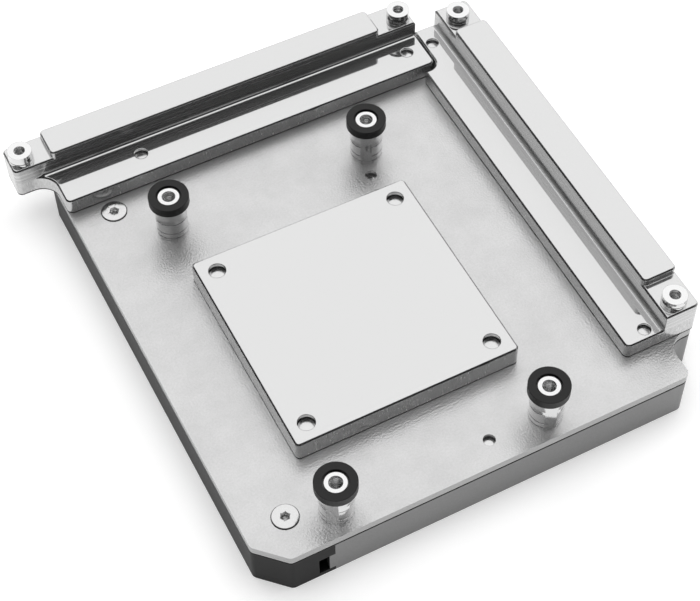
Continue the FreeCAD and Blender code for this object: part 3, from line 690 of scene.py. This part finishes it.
# Studio: white ground, a bright ceiling panel that reaches from overhead to far behind, a dark room in front;
# lengths in m
studio = {
    "panelAcross": (-1.0, -0.45),    # where the panel fades in, in X per unit of height
    "panelAlong": (-0.55, -0.3),     # the same in Y
    "panelGlow": 1.3,
    "panelFar": 0.75,      # how bright the panel still is near the horizon behind and to the right
    "panelRise": (0.3, 0.55),        # heights on the unit sphere between which the far level becomes the full one
    "horizon": (0.02, 0.08),         # heights between which panel and strips fade in
    "lowest": 0.01,        # least height that the panel's place is divided by
    "stripFade": (0.4, 0.3),         # heights between which the low strip lights round the front fade out
    "stripLeft": (-0.78, -0.7),      # the strips leave out the far left
    "stripGlow": 0.4,
    "roomGlow": 0.02,
    "lampHeight": 0.75,
    "lampWidth": 0.7,
    "lampPower": 2.3,
    "floorSize": 6.0,
    "floorPaper": 0.8,
    "floorGlow": 0.04,
    "floorWhite": 0.27,    # added for the camera and in reflections, so that the ground is as white as it looks
}


def makeWorld(look):
    world = bpy.data.worlds.new("studio")
    bpy.context.scene.world = world
    world.use_nodes = True
    tree = world.node_tree
    tree.nodes.clear()
    coords = addNode(tree, "ShaderNodeTexCoord")
    direction = addNode(tree, "ShaderNodeSeparateXYZ", {"Vector": coords.outputs["Generated"]}).outputs
    height = direction["Z"]
    divisor = calculate(tree, "MAXIMUM", height, look["lowest"])
    risen = remap(tree, height, look["horizon"], steps="SMOOTHSTEP")
    panel = remap(tree, height, look["panelRise"], look["panelFar"], look["panelGlow"], "SMOOTHSTEP")
    panel = calculate(tree, "MULTIPLY", panel, risen)
    for axis, span in (("X", look["panelAcross"]), ("Y", look["panelAlong"])):
        place = calculate(tree, "DIVIDE", direction[axis], divisor)
        panel = calculate(tree, "MULTIPLY", panel, remap(tree, place, span, steps="SMOOTHSTEP"))
    strip = calculate(tree, "MULTIPLY", risen, remap(tree, height, look["stripFade"], steps="SMOOTHSTEP"))
    strip = calculate(tree, "MULTIPLY", strip,
                      remap(tree, direction["X"], look["stripLeft"], steps="SMOOTHSTEP"))
    level = calculate(tree, "MAXIMUM", panel, remap(tree, strip, (0, 1), look["roomGlow"], look["stripGlow"]))
    rays = addNode(tree, "ShaderNodeLightPath").outputs
    seen = mix(tree, rays["Is Camera Ray"], level, 1.0)
    back = addNode(tree, "ShaderNodeBackground", {"Color": white, "Strength": seen})
    addNode(tree, "ShaderNodeOutputWorld", {"Surface": back.outputs[0]})


def makeFloor(look):
    half = look["floorSize"] / 2
    mesh = bpy.data.meshes.new("floor")
    mesh.from_pydata([(-half, -half, 0), (half, -half, 0), (half, half, 0), (-half, half, 0)], [], [(0, 1, 2, 3)])
    floor = bpy.data.objects.new("floor", mesh)
    bpy.context.scene.collection.objects.link(floor)
    material, tree = newMaterial("white paper ground")
    rays = addNode(tree, "ShaderNodeLightPath").outputs
    seen = calculate(tree, "MAXIMUM", rays["Is Camera Ray"], rays["Is Glossy Ray"])
    seen = calculate(tree, "MAXIMUM", seen, rays["Is Transmission Ray"])
    strength = remap(tree, seen, (0, 1), look["floorGlow"], look["floorGlow"] + look["floorWhite"])
    paper = addNode(tree, "ShaderNodeBsdfDiffuse", {"Color": (*[look["floorPaper"]] * 3, 1)})
    glow = addNode(tree, "ShaderNodeEmission", {"Color": white, "Strength": strength})
    finishMaterial(tree, addNode(tree, "ShaderNodeAddShader", {0: paper.outputs[0], 1: glow.outputs[0]}))
    mesh.materials.append(material)


def makeLamp(look):
    # round softbox straight above, which shines down
    lamp = bpy.data.lights.new("overhead softbox", "AREA")
    lamp.shape = "DISK"
    lamp.size = look["lampWidth"]
    lamp.energy = look["lampPower"]
    holder = bpy.data.objects.new("overhead softbox", lamp)
    holder.location = (0, 0, look["lampHeight"])
    holder.visible_glossy = False
    bpy.context.scene.collection.objects.link(holder)


view = {
    "sensor_width": 36,
    "lens": 91.82,
    "shift_x": -0.0688,
    "shift_y": 0.0248,
    "clip_start": 0.01,
    "clip_end": 20,
}
viewPlace = (-109.42, -221.63, 363.39)    # mm
viewRight = (0.8832, -0.4688, 0.0105)
viewDown = (-0.3775, -0.7241, -0.5772)
viewAhead = (0.2782, 0.5058, -0.8165)


def makeCamera():
    # the photograph's view, solved together with the plate
    data = bpy.data.cameras.new("camera")
    for key, value in view.items():
        setattr(data, key, value)
    camera = bpy.data.objects.new("camera", data)
    turn = Matrix((Vector(viewRight), -Vector(viewDown), -Vector(viewAhead))).transposed()
    camera.rotation_mode = "QUATERNION"
    camera.rotation_quaternion = turn.to_quaternion()
    camera.location = Vector(viewPlace) * mm
    bpy.context.scene.collection.objects.link(camera)
    bpy.context.scene.camera = camera


makeWorld(studio)
makeFloor(studio)
makeLamp(studio)
makeCamera()
bpy.context.scene.view_settings.view_transform = "Standard"
print("studio ready")
